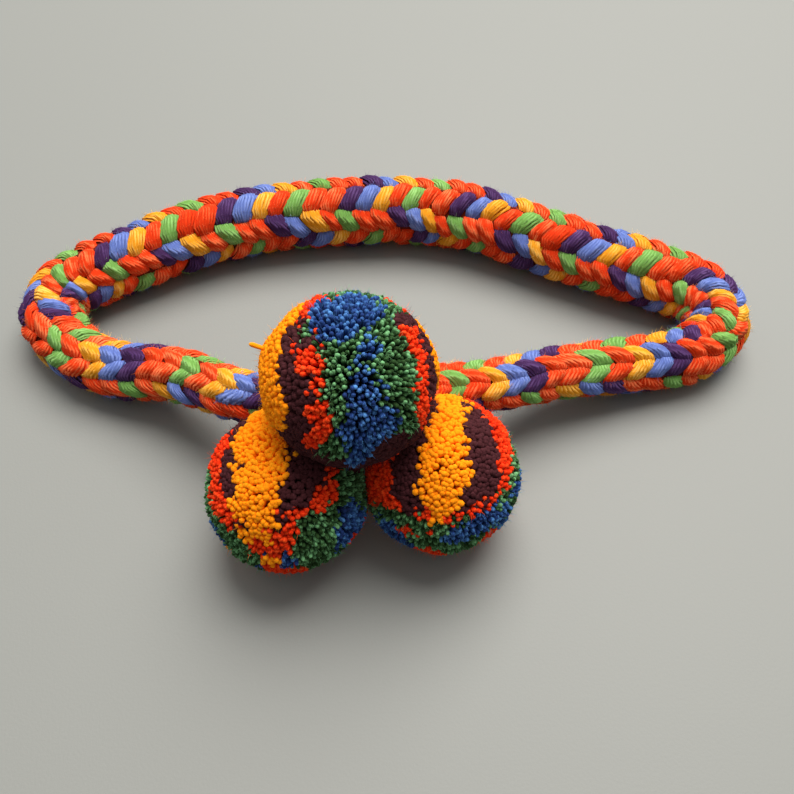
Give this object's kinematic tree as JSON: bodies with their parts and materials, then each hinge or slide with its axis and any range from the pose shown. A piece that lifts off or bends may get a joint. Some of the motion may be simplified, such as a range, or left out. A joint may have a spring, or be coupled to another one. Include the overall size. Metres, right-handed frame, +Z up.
{
  "type": "pom pom trim",
  "caption": "Thick round plait of bright yarn joined end to end into a ring, with a cluster of round cut-yarn pompoms fixed at the join.",
  "frame": {"origin": "on the table, under the middle of the whole part's bounding box", "axes": "+Z up from the table, +X along the ring's longest way, -Y towards the side where the pompoms sit"},
  "size_m": [0.3228, 0.2054, 0.1024],
  "materials": {
    "plait_yarn": "matt spun acrylic yarn in orange, purple, blue, yellow and green",
    "pompom_yarn": "matt cut yarn ends in yellow, orange, green, blue and dark purple"
  },
  "bodies": {
    "root": {"plait": "plait_yarn", "pompom_left": "pompom_yarn", "pompom_right": "pompom_yarn", "pompom_top": "pompom_yarn"}
  },
  "joints": []
}
